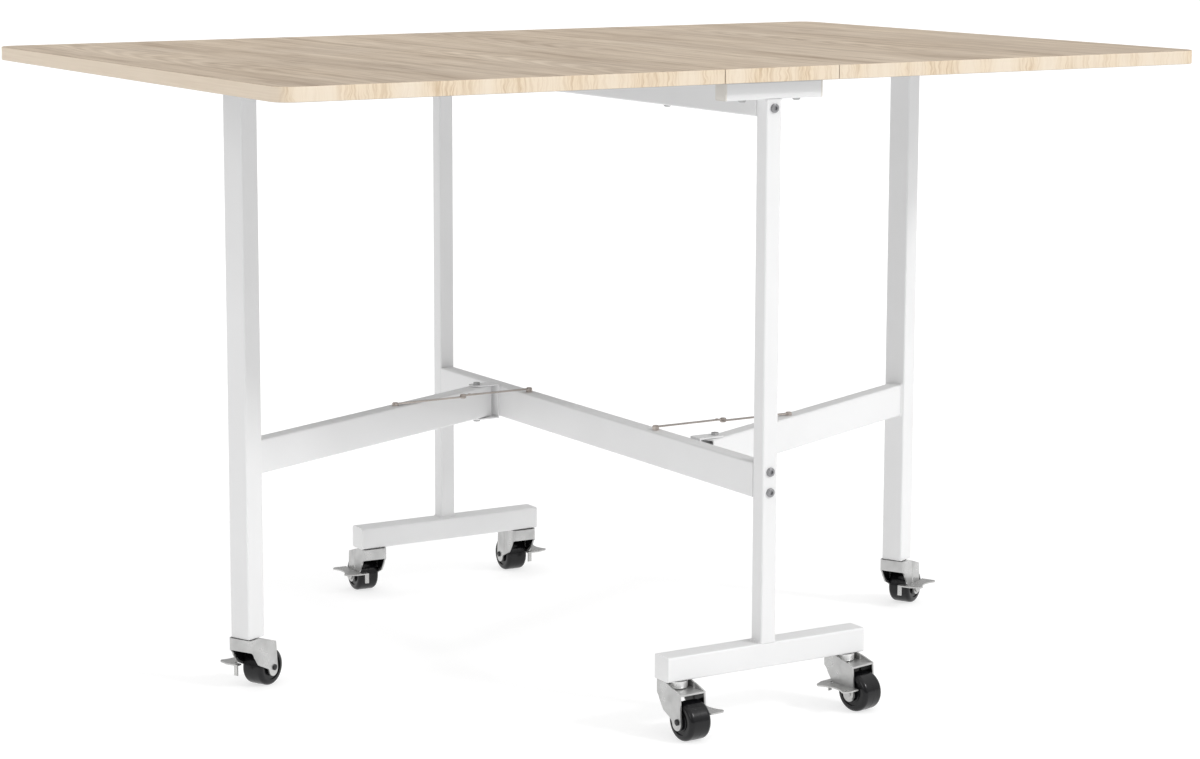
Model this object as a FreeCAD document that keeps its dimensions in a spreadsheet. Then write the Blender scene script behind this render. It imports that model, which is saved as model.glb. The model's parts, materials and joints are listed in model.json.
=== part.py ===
import FreeCAD, Part
import math
import operator
import os
import Sketcher

# Drop-leaf gateleg table on braked swivel casters.
# +Z is up, the floor is z = 0 and the origin is under the middle of the top.
# X runs along the long side of the open top, and the front is the -Y side.

# Driving dimensions, in millimetres and degrees
DIMENSIONS = [
    ("table_height", 735, "floor to the upper face of the top"),
    ("top_length", 1200, "open top along X"),
    ("top_width", 800, "open top along Y"),
    ("top_thick", 16, "laminated board"),
    ("centre_width", 150, "fixed middle board from seam to seam"),
    ("seam_gap", 1, "gap at each seam"),
    ("corner_round", 22, "plan radius of the outer corners"),
    ("edge_round", 0.6, "rounding of the board's edges"),
    ("frame_setback", 15, "edge of the top to a post's outer face"),
    ("tube_wall", 1.5, "wall of every tube"),
    ("tube_corner", 2.2, "outer corner radius of every tube"),
    ("tube_bend", 0.8, "inner corner radius of every tube"),
    ("post_side", 20, "square post tube"),
    ("foot_side", 28, "square tube of the feet and gate posts"),
    ("foot_length", 265, "foot over its end plugs"),
    ("bearer_side", 20, "square tube under the middle board"),
    ("bearer_length", 128, "bearer over its end plugs"),
    ("rail_width", 20, "apron, stretcher and gate rails across"),
    ("rail_height", 40, "apron, stretcher and gate rails upright"),
    ("stretcher_level", 254, "floor to the underside of the stretcher"),
    ("plug_flange", 2, "visible thickness of an end plug"),
    ("plug_depth", 14, "stub of a bearer plug or gate pad inside its tube"),
    ("foot_plug_depth", 3, "stub of a foot plug, short of the caster's nut"),
    ("plug_play", 0.1, "room around anything pushed into a tube"),
    ("block_depth", 22, "threaded block in a rail end"),
    ("bolt_shank", 3, "frame bolt radius"),
    ("bolt_head", 5, "frame bolt head radius"),
    ("bolt_dome", 2.8, "frame bolt head height"),
    ("bolt_key", 2.3, "circumradius of the key socket"),
    ("bolt_key_depth", 1.6, "depth of the key socket"),
    ("bolt_grip", 18, "bolt length inside a rail end"),
    ("bolt_pitch", 23.2, "between the two bolts of the stretcher"),
    ("apron_bolt_rise", 10.3, "apron's underside to its bolt"),
    ("hole_play", 0.05, "radial room of a fixed pin or bolt in its hole"),
    ("run_play", 0.06, "radial room of a turning pin in its hole"),
    ("screw_shank", 2, "radius of a screw into the board"),
    ("screw_head", 4.5, "its head radius"),
    ("screw_dome", 2.6, "its head height"),
    ("screw_bite", 11, "its depth in the board"),
    ("bearer_screw_x", 36, "screws of a bearer from its middle"),
    ("apron_screw_y", 170, "screws of the apron from its middle"),
    ("hinge_pitch", 300, "between the hinges of a seam"),
    ("hinge_length", 60, "hinge along the seam"),
    ("hinge_reach", 32, "seam to the outer edge of a hinge plate"),
    ("hinge_sheet", 1.4, "hinge plate thickness"),
    ("hinge_drop", 2.7, "board's underside down to the hinge pin"),
    ("knuckle_round", 2.4, "hinge knuckle radius"),
    ("hinge_pin", 1.2, "hinge pin radius"),
    ("knuckle_play", 0.3, "gap between knuckles"),
    ("hinge_screw", 1.6, "hinge screw shank radius"),
    ("hinge_screw_head", 3.2, "hinge screw head radius"),
    ("hinge_screw_dome", 1.5, "hinge screw head height"),
    ("hinge_screw_x", 20, "hinge screws from the seam"),
    ("hinge_screw_y", 20, "hinge screws from the hinge's middle"),
    ("gate_swing", 65.6, "gate's turn from closed to open"),
    ("gate_reach", 448.5, "gate pivot to the middle of the gate post"),
    ("gate_overhang", 18, "gate rail beyond its pivot"),
    ("pivot_offset", 27.5, "stretcher's face to the gate pivot"),
    ("pivot_place", 218, "middle of the stretcher to the gate pivot"),
    ("pivot_shank", 2.8, "pivot bolt radius"),
    ("pivot_head", 4.8, "circumradius of the pivot bolt's head and nut"),
    ("pivot_head_height", 3, "pivot bolt head and nut height"),
    ("bracket_sheet", 1.6, "gate bracket thickness"),
    ("bracket_half", 10, "half of the gate bracket's width"),
    ("gate_play", 0.5, "gate rail to each bracket flange"),
    ("pad_gap", 0.3, "gate pad to the leaf above it"),
    ("pad_height", 4, "gate pad above its tube"),
    ("socket_depth", 26, "threaded socket in the gate post's lower end"),
    ("stay_reach", 168, "gate pivot to the stay's pin on the gate rail"),
    ("stay_eye", 4, "radius of a stay link's round ends"),
    ("stay_sheet", 1.4, "stay link thickness"),
    ("stay_lift", 1.5, "rail top to the lower link"),
    ("stay_gap", 0.4, "lower link to upper link"),
    ("stay_pin", 2, "stay pin radius"),
    ("stay_pin_head", 3.2, "stay pin and rivet head radius"),
    ("stay_rivet", 0.9, "stay rivet head height"),
    ("stay_nib", 1.6, "stop nib radius"),
    ("stay_nib_place", 9, "stop nib to the middle rivet"),
    ("face_play", 0.1, "gap between flat faces that slide"),
    ("caster_height", 63, "floor to the tube above a caster"),
    ("caster_inset", 19, "foot's end to the caster's stem"),
    ("trail", 27, "caster stem to axle"),
    ("wheel_radius", 22, "wheel"),
    ("wheel_half", 14.3, "half of the wheel's width"),
    ("wheel_shoulder", 5, "rounding between tread and side"),
    ("hub_half", 15, "half of the hub's length"),
    ("hub_round", 6.5, "hub radius"),
    ("web_half", 13, "half of the wheel's web"),
    ("ring_half", 13.7, "half width at the raised ring"),
    ("ring_inner", 9.6, "raised ring inside"),
    ("ring_outer", 11.2, "raised ring outside"),
    ("rim_inner", 15, "rim inside"),
    ("axle_round", 3, "axle radius"),
    ("axle_bevel", 0.6, "bevel of the axle's ends"),
    ("axle_proud", 1.3, "axle's plain end beyond the fork's cheek"),
    ("axle_head", 3.6, "axle head radius outside the brake's ear"),
    ("axle_head_height", 1.4, "axle head height"),
    ("fork_sheet", 2, "pressed fork thickness"),
    ("fork_half", 17.6, "half of the fork's width over the axle"),
    ("fork_step", 0.7, "cheek set in before the step"),
    ("fork_step_x", 12.5, "stem to the cheek's step"),
    ("fork_step_run", 1.2, "length of the step"),
    ("fork_front", 15.8, "stem to the fork's front wall"),
    ("fork_corner", 4.5, "plan radius of the fork's front corners"),
    ("fork_gap", 0.8, "tube above to the fork's highest edge"),
    ("fork_plate_level", 53, "floor to the fork's top plate"),
    ("fork_shoulder", 2, "where the cheek's top starts to slope"),
    ("fork_skirt", 48, "floor to the front wall's lower edge"),
    ("fork_brow_x", -8, "end of the cheek's upper bend"),
    ("fork_brow_z", 40.8, "its height"),
    ("fork_brow_bend", 10, "its radius"),
    ("fork_waist_x", -2.2, "start of the cheek's lower bend"),
    ("fork_waist_z", 32.4, "its height"),
    ("fork_shelf_x", 4, "end of the cheek's lower bend"),
    ("fork_shelf_z", 27.8, "its height"),
    ("fork_shelf_bend", 9.5, "radius of the lower bend"),
    ("fork_heel_x", 15.5, "where the cheek runs down to the axle"),
    ("fork_heel_z", 22.4, "its height"),
    ("fork_heel_bend", 10, "radius of the run down"),
    ("lobe_round", 8, "radius of the cheek's lower end"),
    ("lobe_back", 1.5, "middle of that round before the axle"),
    ("lobe_drop", 2, "middle of that round below the axle"),
    ("fork_rear_cut", 2.5, "slope of the cheek's rear edge over its height"),
    ("lobe_angle", 200, "where the run down meets that round"),
    ("kingpin", 4, "kingpin radius under the cup"),
    ("kingpin_head", 7, "kingpin head radius"),
    ("kingpin_head_height", 3.4, "kingpin head height"),
    ("cup_round", 13.2, "swivel cup radius"),
    ("cup_bend", 2.2, "rounding under the swivel cup"),
    ("swivel_gap", 0.4, "cup to plate and plate to kingpin head"),
    ("stem", 5, "threaded stem radius"),
    ("stem_length", 20, "threaded stem above the cup"),
    ("stem_nut", 9, "circumradius of the stem's nut"),
    ("stem_nut_height", 7, "stem nut height"),
    ("brake_level", 28, "floor to the brake plate"),
    ("brake_sheet", 1.6, "brake plate thickness"),
    ("brake_gap", 0.3, "cheek to the brake plate and its ear"),
    ("brake_ear", 7.5, "ear radius about the axle"),
    ("brake_arm_front", -11, "front edge of the arm before the wheel"),
    ("brake_arm_rear", -3.5, "rear edge of that arm"),
    ("brake_arm_end", 7.5, "caster's middle to the arm's inner end"),
    ("brake_tab_width", 5, "tab bent down from the arm's end"),
    ("brake_tab_drop", 11.5, "tab below the plate"),
    ("brake_rear", 41, "rear end of the brake plate"),
    ("wing_reach", 21, "cheek to the outer edge of both wings"),
    ("wing_front", -7.5, "front edge of the front wing"),
    ("wing_front_bend", 6.5, "its corner radius"),
    ("wing_rear_bend", 6, "corner radius of the rear wing"),
    ("wing_waist", 30, "radius of the hollow between the wings"),
    ("wing_root", 6.5, "cheek to where the front wing meets the arm"),
    ("pedal_hole", 1.6, "hole at the root of the front wing"),
    ("pedal_hole_x", -3, "its place along the caster"),
    ("pedal_hole_y", 3, "cheek to that hole"),
]


HINGES = 3
KNUCKLES = 5


class Size:
    """A length, angle or count that carries its number and the sheet formula behind it."""

    def __init__(self, value, formula):
        self.value = value
        self.formula = formula

    def __add__(self, other):
        return combine(self, other, operator.add, "+")

    def __radd__(self, other):
        return combine(other, self, operator.add, "+")

    def __sub__(self, other):
        return combine(self, other, operator.sub, "-")

    def __rsub__(self, other):
        return combine(other, self, operator.sub, "-")

    def __mul__(self, other):
        return combine(self, other, operator.mul, "*")

    def __rmul__(self, other):
        return combine(other, self, operator.mul, "*")

    def __truediv__(self, other):
        return combine(self, other, operator.truediv, "/")

    def __neg__(self):
        return combine(0, self, operator.sub, "-")


def as_size(value):
    """A plain number becomes a size with itself as formula."""
    return value if isinstance(value, Size) else Size(value, repr(value))


def combine(left, right, action, sign):
    """Joins two sizes by one arithmetic sign, in number and in formula."""
    left = as_size(left)
    right = as_size(right)
    formula = "({} {} {})".format(left.formula, sign, right.formula)
    return Size(action(left.value, right.value), formula)


def cosine(angle):
    angle = as_size(angle)
    return Size(math.cos(math.radians(angle.value)), "cos({} * 1 deg)".format(angle.formula))


def sine(angle):
    angle = as_size(angle)
    return Size(math.sin(math.radians(angle.value)), "sin({} * 1 deg)".format(angle.formula))


class Dimensions:
    """Gives each cell of the sheet as a Size under its alias."""

    def __init__(self, sheet):
        for row, (alias, value, note) in enumerate(DIMENSIONS, start=1):
            cell = "B{}".format(row)
            sheet.set("A{}".format(row), alias)
            sheet.set(cell, str(value))
            sheet.setAlias(cell, alias)
            sheet.set("C{}".format(row), note)
            setattr(self, alias, Size(value, "{}.{}".format(sheet.Name, alias)))


doc = FreeCAD.newDocument("gateleg_table")
sheet = doc.addObject("Spreadsheet::Sheet", "Dims")
d = Dimensions(sheet)
doc.recompute()

UP = FreeCAD.Vector(0, 0, 1)
TURNS = {
    "x": FreeCAD.Rotation(FreeCAD.Vector(0, 1, 0), 90),
    "y": FreeCAD.Rotation(FreeCAD.Vector(1, 0, 0), -90),
    "z": FreeCAD.Rotation(),
}
nodes = []


def bind(thing, prop, value):
    """Ties one property of an object to the sheet."""
    thing.setExpression(prop, as_size(value).formula)


def place(thing, x=0, y=0, z=0, turn=None):
    """Puts a piece in its place, turned about the vertical."""
    for axis, value in zip("xyz", (x, y, z)):
        bind(thing, "Placement.Base." + axis, value)
    if turn is not None:
        thing.Placement.Rotation = FreeCAD.Rotation(UP, as_size(turn).value)
        bind(thing, "Placement.Rotation.Angle", turn)
    return thing


def node(name, thing):
    """Names a finished sub-part."""
    thing.Label = name
    nodes.append(thing)
    return thing


# Outlines and solids


def arc_between(start, end, radius, turn):
    """The short arc from start to end, turning left for +1 and right for -1."""
    chord = end - start
    middle = (start + end) * 0.5
    height = math.sqrt(max(radius * radius - chord.Length * chord.Length / 4, 0))
    side = FreeCAD.Vector(-chord.y, chord.x, 0).normalize()
    centre = middle + side * (height * turn)
    first, last = (start, end) if turn > 0 else (end, start)
    begin = math.atan2(first.y - centre.y, first.x - centre.x)
    finish = math.atan2(last.y - centre.y, last.x - centre.x)
    return Part.ArcOfCircle(Part.Circle(centre, UP, radius), begin, finish)


def pin_point(outline, piece, end, corner):
    """Holds the start of one stretch at its corner's two coordinates."""
    for kind, axis, value in (("DistanceX", -2, corner[0]), ("DistanceY", -1, corner[1])):
        value = as_size(value)
        if value.value == 0:
            outline.addConstraint(Sketcher.Constraint("PointOnObject", piece, end, axis))
        else:
            index = outline.addConstraint(
                Sketcher.Constraint(kind, -1, 1, piece, end, value.value))
            bind(outline, "Constraints[{}]".format(index), value)


def draw_loop(outline, corners):
    """A closed loop. A corner is (x, y), or (x, y, radius, turn) where an arc leaves it."""
    places = [FreeCAD.Vector(as_size(c[0]).value, as_size(c[1]).value, 0) for c in corners]
    ends = []
    for index, corner in enumerate(corners):
        start = places[index]
        end = places[(index + 1) % len(corners)]
        if len(corner) == 2:
            piece = outline.addGeometry(Part.LineSegment(start, end), False)
            ends.append((piece, 1, 2))
            continue
        radius = as_size(corner[2])
        turn = corner[3]
        piece = outline.addGeometry(arc_between(start, end, radius.value, turn), False)
        ends.append((piece, 1, 2) if turn > 0 else (piece, 2, 1))
    for index, (piece, first, last) in enumerate(ends):
        following = ends[(index + 1) % len(ends)]
        outline.addConstraint(
            Sketcher.Constraint("Coincident", piece, last, following[0], following[1]))
    for (piece, first, last), corner in zip(ends, corners):
        pin_point(outline, piece, first, corner)
        if len(corner) == 4:
            radius = as_size(corner[2])
            index = outline.addConstraint(Sketcher.Constraint("Radius", piece, radius.value))
            bind(outline, "Constraints[{}]".format(index), radius)


def sketched_body(plane, loops):
    """A body with one sketch on an origin plane."""
    body = doc.addObject("PartDesign::Body", "Body")
    outline = body.newObject("Sketcher::SketchObject", "Outline")
    support = [item for item in body.Origin.OriginFeatures if item.Role == plane + "_Plane"]
    outline.AttachmentSupport = [(support[0], "")]
    outline.MapMode = "FlatFace"
    for corners in loops:
        draw_loop(outline, corners)
    return body, outline


def padded(plane, loops, length, side="One side"):
    """Pads the loops drawn on a plane, away from it or to both sides."""
    body, outline = sketched_body(plane, loops)
    pad = body.newObject("PartDesign::Pad", "Pad")
    pad.Profile = outline
    pad.SideType = side
    bind(pad, "Length", length)
    return body


def revolved(corners, along="z"):
    """Turns a profile of radius and height about the axis that it stands on."""
    body, outline = sketched_body("XZ", [corners])
    turned = body.newObject("PartDesign::Revolution", "Revolution")
    turned.Profile = outline
    turned.ReferenceAxis = (outline, ["V_Axis"])
    turned.Angle = 360
    body.Placement.Rotation = TURNS[along]
    return body


def rounded(width, depth, radius, x=0, y=0):
    """Corners of a rectangle with rounded corners about x, y."""
    w = width / 2
    h = depth / 2
    return [
        (x - w + radius, y - h), (x + w - radius, y - h, radius, 1),
        (x + w, y - h + radius), (x + w, y + h - radius, radius, 1),
        (x + w - radius, y + h), (x - w + radius, y + h, radius, 1),
        (x - w, y + h - radius), (x - w, y - h + radius, radius, 1),
    ]


def box(x, y, z, length, width, height):
    block = doc.addObject("Part::Box", "Block")
    bind(block, "Length", length)
    bind(block, "Width", width)
    bind(block, "Height", height)
    return place(block, x, y, z)


def rod(radius, length, x=0, y=0, z=0, along="z"):
    bar = doc.addObject("Part::Cylinder", "Rod")
    bind(bar, "Radius", radius)
    bind(bar, "Height", length)
    bar.Placement.Rotation = TURNS[along]
    return place(bar, x, y, z)


def hexagon(circumradius, height, x=0, y=0, z=0, along="z"):
    prism = doc.addObject("Part::Prism", "Hexagon")
    prism.Polygon = 6
    bind(prism, "Circumradius", circumradius)
    bind(prism, "Height", height)
    prism.Placement.Rotation = TURNS[along]
    return place(prism, x, y, z)


def fuse(*pieces):
    joined = doc.addObject("Part::MultiFuse", "Fuse")
    joined.Shapes = list(pieces)
    return joined


def cut(base, *tools):
    result = doc.addObject("Part::Cut", "Cut")
    result.Base = base
    result.Tool = tools[0] if len(tools) == 1 else fuse(*tools)
    return result


def common(first, second):
    result = doc.addObject("Part::Common", "Common")
    result.Base = first
    result.Tool = second
    return result


def group(*pieces):
    """Separate solids that share one node."""
    gathered = doc.addObject("Part::Compound", "Group")
    gathered.Links = list(pieces)
    return gathered


def tube(along, width, height, length):
    """Tube with rounded corners, centred on its own middle."""
    plane = {"x": "YZ", "y": "XZ", "z": "XY"}[along]
    inner = rounded(width - 2 * d.tube_wall, height - 2 * d.tube_wall, d.tube_bend)
    return padded(plane, [rounded(width, height, d.tube_corner), inner], length, "Symmetric")


# Levels and places that several pieces share
top_under = d.table_height - d.top_thick
frame_depth = d.top_width - 2 * d.frame_setback
seam = d.centre_width / 2
post_y = (frame_depth - d.post_side) / 2
foot_y = (frame_depth - d.foot_side) / 2
foot_top = d.caster_height + d.foot_side
bearer_under = top_under - d.bearer_side
rail_length = frame_depth - 2 * d.post_side
apron_under = top_under - d.rail_height
stretcher_top = d.stretcher_level + d.rail_height
stretcher_middle = d.stretcher_level + d.rail_height / 2
gate_angle = 90 - d.gate_swing
gate_x = d.rail_width / 2 + d.pivot_offset
stay_x = gate_x + d.stay_reach * cosine(gate_angle)
stay_y = d.pivot_place - d.stay_reach * sine(gate_angle)
lower_link = stretcher_top + d.stay_lift
upper_link = lower_link + d.stay_sheet + d.stay_gap
ENDS = (("front", -1), ("rear", 1))
SIDES = (("left", -1), ("right", 1))


def half_turn(side):
    """Pieces are drawn for the right side, and a half turn about Z makes the left ones."""
    return 0 if side > 0 else 180


# Screws, bolts and plugs


def screw(shank, head, dome, length, x, y, seat):
    """Screw driven upwards, with its bevelled head under the height seat."""
    edge = dome / 2
    body = revolved([
        (0, -dome), (head - edge, -dome), (head, -edge), (head, 0),
        (shank, 0), (shank, length), (0, length),
    ])
    return place(body, x, y, seat)


def frame_bolt(end, height):
    """Button-head bolt through a post into the rail end behind it."""
    edge = d.bolt_dome / 2
    length = d.post_side + d.bolt_grip
    solid = revolved([
        (0, -d.bolt_dome), (d.bolt_head - edge, -d.bolt_dome, edge, 1),
        (d.bolt_head, -edge), (d.bolt_head, 0),
        (d.bolt_shank, 0), (d.bolt_shank, length), (0, length),
    ], "y")
    socket = hexagon(d.bolt_key, d.bolt_key_depth, 0, -d.bolt_dome, 0, "y")
    bolt = cut(solid, socket)
    return place(bolt, 0, end * frame_depth / 2, height, half_turn(-end))


def end_plug(side_length, depth, x, y, z, side):
    """Plug in the end of a tube along X: a flange as wide as the tube and a stub inside it."""
    flange = padded("YZ", [rounded(side_length, side_length, d.tube_corner)], d.plug_flange)
    inner = side_length - 2 * d.tube_wall - 2 * d.plug_play
    stub = place(padded("YZ", [rounded(inner, inner, d.tube_bend)], depth), -depth)
    return place(fuse(flange, stub), side * x, y, z, half_turn(side))


# Top boards


def board(corners):
    """Board with rounded upper and lower edges."""
    body = padded("XY", [corners], d.top_thick)
    doc.recompute()
    pad = body.Tip
    flat = [
        "Face{}".format(index)
        for index, face in enumerate(pad.Shape.Faces, start=1)
        if abs(face.normalAt(0, 0).z) > 0.99
    ]
    edge = body.newObject("PartDesign::Fillet", "Edge")
    edge.Base = (pad, flat)
    bind(edge, "Radius", d.edge_round)
    return place(body, 0, 0, top_under)


def hinge_places():
    return [d.hinge_pitch * (index - (HINGES - 1) / 2) for index in range(HINGES)]


def hinge_screw_places(side):
    """Plan places of the hinge screws on one side of the right seam: -1 middle, +1 leaf."""
    return [
        (seam + side * d.hinge_screw_x, y + end * d.hinge_screw_y)
        for y in hinge_places() for end in (-1, 1)
    ]


def pilot_hole(radius, x, y):
    return rod(radius + d.hole_play, d.screw_bite, x, y, top_under)


def hinge_screws(places):
    return [
        screw(d.hinge_screw, d.hinge_screw_head, d.hinge_screw_dome,
              d.hinge_sheet + d.screw_bite, x, y, top_under - d.hinge_sheet)
        for x, y in places
    ]


bearer_screw_places = [(x * d.bearer_screw_x, y * post_y) for x in (-1, 1) for y in (-1, 1)]
apron_screw_places = [(0, y * d.apron_screw_y) for y in (-1, 1)]
fixed_screw_places = hinge_screw_places(-1) + [(-x, -y) for x, y in hinge_screw_places(-1)]
centre_edge = seam - d.seam_gap / 2
leaf_edge = seam + d.seam_gap / 2

centre_outline = [
    (-centre_edge, -d.top_width / 2), (centre_edge, -d.top_width / 2),
    (centre_edge, d.top_width / 2), (-centre_edge, d.top_width / 2),
]
centre_holes = [pilot_hole(d.screw_shank, x, y) for x, y in bearer_screw_places + apron_screw_places]
centre_holes += [pilot_hole(d.hinge_screw, x, y) for x, y in fixed_screw_places]
node("centre_top", cut(board(centre_outline), *centre_holes))

leaf_end = d.top_length / 2
leaf_half = d.top_width / 2
leaf_outline = [
    (leaf_edge, -leaf_half), (leaf_end - d.corner_round, -leaf_half, d.corner_round, 1),
    (leaf_end, -leaf_half + d.corner_round), (leaf_end, leaf_half - d.corner_round, d.corner_round, 1),
    (leaf_end - d.corner_round, leaf_half), (leaf_edge, leaf_half),
]
for name, side in SIDES:
    leaf_holes = [pilot_hole(d.hinge_screw, x, y) for x, y in hinge_screw_places(1)]
    leaf = cut(board(leaf_outline), *leaf_holes)
    node(name + "_leaf", place(leaf, turn=half_turn(side)))


# Hinges under the seams


def hinge_plate(y, side, kept):
    """One plate of a hinge under the right seam, with the knuckles whose places are kept."""
    pitch = d.hinge_length / KNUCKLES
    pin_level = top_under - d.hinge_drop
    near = d.knuckle_round + d.knuckle_play
    width = d.hinge_reach - near
    start = seam + near if side > 0 else seam - d.hinge_reach
    lip = near + d.hinge_sheet
    lip_start = seam if side > 0 else seam - lip
    lip_top = pin_level + d.knuckle_round
    pieces = [box(start, y - d.hinge_length / 2, top_under - d.hinge_sheet,
                  width, d.hinge_length, d.hinge_sheet)]
    for index in kept:
        low = y - d.hinge_length / 2 + pitch * index + d.knuckle_play / 2
        length = pitch - d.knuckle_play
        pieces.append(rod(d.knuckle_round, length, seam, low, pin_level, "y"))
        pieces.append(box(lip_start, low, lip_top - d.hinge_sheet, lip, length, d.hinge_sheet))
    holes = [rod(d.hinge_pin + d.run_play, d.hinge_length, seam, y - d.hinge_length / 2,
                 pin_level, "y")]
    for end in (-1, 1):
        holes.append(rod(d.hinge_screw + d.hole_play, d.hinge_sheet, seam + side * d.hinge_screw_x,
                         y + end * d.hinge_screw_y, top_under - d.hinge_sheet))
    return cut(fuse(*pieces), *holes)


def hinge_pin(y):
    return rod(d.hinge_pin, d.hinge_length, seam, y - d.hinge_length / 2,
               top_under - d.hinge_drop, "y")


def both_sides(maker):
    """The pieces that maker gives for the right seam, and again for the left one."""
    return [place(group(*maker()), turn=half_turn(side)) for name, side in SIDES]


node("hinge_fixed_plates", group(*both_sides(
    lambda: [hinge_plate(y, -1, range(0, KNUCKLES, 2)) for y in hinge_places()])))
node("hinge_pins", group(*both_sides(lambda: [hinge_pin(y) for y in hinge_places()])))
node("hinge_fixed_screws", group(*hinge_screws(fixed_screw_places)))
for name, side in SIDES:
    plates = group(*[hinge_plate(y, 1, range(1, KNUCKLES, 2)) for y in hinge_places()])
    node(name + "_leaf_hinge_plates", place(plates, turn=half_turn(side)))
    screws = group(*hinge_screws(hinge_screw_places(1)))
    node(name + "_leaf_hinge_screws", place(screws, turn=half_turn(side)))


# Frame of tubes

bolt_rise = d.bolt_pitch / 2
stretcher_bolts = [stretcher_middle - bolt_rise, stretcher_middle + bolt_rise]
apron_bolt = apron_under + d.apron_bolt_rise
bolt_levels = stretcher_bolts + [apron_bolt]
stem_x = d.foot_length / 2 - d.caster_inset

for name, end in ENDS:
    post_length = bearer_under - foot_top
    post = place(tube("z", d.post_side, d.post_side, post_length), 0, end * post_y,
                 foot_top + post_length / 2)
    bores = [
        rod(d.bolt_shank + d.hole_play, d.post_side, 0, end * post_y - d.post_side / 2, level, "y")
        for level in bolt_levels
    ]
    node(name + "_post", cut(post, *bores))

    foot = place(tube("x", d.foot_side, d.foot_side, d.foot_length - 2 * d.plug_flange),
                 0, end * foot_y, d.caster_height + d.foot_side / 2)
    bores = [
        rod(d.stem + d.hole_play, d.tube_wall, side * stem_x, end * foot_y, d.caster_height)
        for side in (-1, 1)
    ]
    node(name + "_foot", cut(foot, *bores))

    bearer = place(tube("x", d.bearer_side, d.bearer_side, d.bearer_length - 2 * d.plug_flange),
                   0, end * post_y, bearer_under + d.bearer_side / 2)
    bores = [
        rod(d.screw_shank + d.hole_play, d.bearer_side, x * d.bearer_screw_x, end * post_y,
            bearer_under)
        for x in (-1, 1)
    ]
    node(name + "_bearer", cut(bearer, *bores))

apron = place(tube("y", d.rail_width, d.rail_height, rail_length), 0, 0,
              apron_under + d.rail_height / 2)
bores = [rod(d.screw_shank + d.hole_play, d.rail_height, x, y, apron_under)
         for x, y in apron_screw_places]
node("apron_rail", cut(apron, *bores))

stretcher = place(tube("y", d.rail_width, d.rail_height, rail_length), 0, 0, stretcher_middle)
bores = [rod(d.stay_pin + d.hole_play, d.tube_wall, 0, end * stay_y, stretcher_top - d.tube_wall)
         for end in (-1, 1)]
node("stretcher_rail", cut(stretcher, *bores))

foot_plug_x = d.foot_length / 2 - d.plug_flange
node("foot_end_plugs", group(*[
    end_plug(d.foot_side, d.foot_plug_depth, foot_plug_x, end * foot_y,
             d.caster_height + d.foot_side / 2, side)
    for end in (-1, 1) for side in (-1, 1)
]))
bearer_plug_x = d.bearer_length / 2 - d.plug_flange
node("bearer_end_plugs", group(*[
    end_plug(d.bearer_side, d.plug_depth, bearer_plug_x, end * post_y,
             bearer_under + d.bearer_side / 2, side)
    for end in (-1, 1) for side in (-1, 1)
]))


def rail_end_block(end, middle, levels):
    """Threaded block pushed into the end of a rail, flush with it."""
    room = 2 * d.tube_wall + 2 * d.plug_play
    width = d.rail_width - room
    height = d.rail_height - room
    low = rail_length / 2 - d.block_depth if end > 0 else -rail_length / 2
    block = place(padded("XZ", [rounded(width, height, d.tube_bend)], d.block_depth),
                  0, low + d.block_depth, middle)
    threads = [rod(d.bolt_shank + d.hole_play, d.block_depth, 0, low, level, "y")
               for level in levels]
    return cut(block, *threads)


node("rail_end_blocks", group(*[
    rail_end_block(end, middle, levels)
    for end in (-1, 1)
    for middle, levels in ((apron_under + d.rail_height / 2, [apron_bolt]),
                           (stretcher_middle, stretcher_bolts))
]))
node("frame_bolts", group(*[frame_bolt(end, level) for end in (-1, 1) for level in bolt_levels]))

bearer_screws = [
    screw(d.screw_shank, d.screw_head, d.screw_dome, d.bearer_side + d.screw_bite, x, y, bearer_under)
    for x, y in bearer_screw_places
]
apron_screws = [
    screw(d.screw_shank, d.screw_head, d.screw_dome, d.rail_height + d.screw_bite, x, y, apron_under)
    for x, y in apron_screw_places
]
node("top_screws", group(*bearer_screws, *apron_screws))


# Gate pivots on the stretcher


def gate_bracket(side):
    """Pressed U on the stretcher's face: a web and two rounded flanges round the gate rail."""
    half = d.bracket_half
    sheet_thick = d.bracket_sheet
    low = d.stretcher_level - d.gate_play - sheet_thick
    room = d.rail_height + 2 * d.gate_play
    tongue = [
        (0, -half), (d.pivot_offset, -half, half, 1), (d.pivot_offset + half, 0, half, 1),
        (d.pivot_offset, half), (0, half),
    ]
    lower = place(padded("XY", [tongue], sheet_thick), 0, 0, low)
    upper = place(padded("XY", [tongue], sheet_thick), 0, 0, low + sheet_thick + room)
    web = box(0, -half, low, sheet_thick, 2 * half, room + 2 * sheet_thick)
    bore = rod(d.pivot_shank + d.hole_play, room + 2 * sheet_thick, d.pivot_offset, 0, low)
    bracket = cut(fuse(lower, upper, web), bore)
    return place(bracket, side * d.rail_width / 2, -side * d.pivot_place, 0, half_turn(side))


bracket_grip = d.rail_height + 2 * d.gate_play + 2 * d.bracket_sheet
bracket_under = stretcher_middle - bracket_grip / 2


def pivot_bolt(side):
    """Hexagon bolt down through both flanges, long enough for its nut."""
    length = bracket_grip + d.pivot_head_height
    shank = rod(d.pivot_shank, length, 0, 0, bracket_under - d.pivot_head_height)
    head = hexagon(d.pivot_head, d.pivot_head_height, 0, 0, bracket_under + bracket_grip)
    return place(fuse(shank, head), side * gate_x, -side * d.pivot_place)


def pivot_nut(side):
    low = bracket_under - d.pivot_head_height
    blank = hexagon(d.pivot_head, d.pivot_head_height, 0, 0, low)
    thread = rod(d.pivot_shank + d.hole_play, d.pivot_head_height, 0, 0, low)
    return place(cut(blank, thread), side * gate_x, -side * d.pivot_place)


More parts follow.
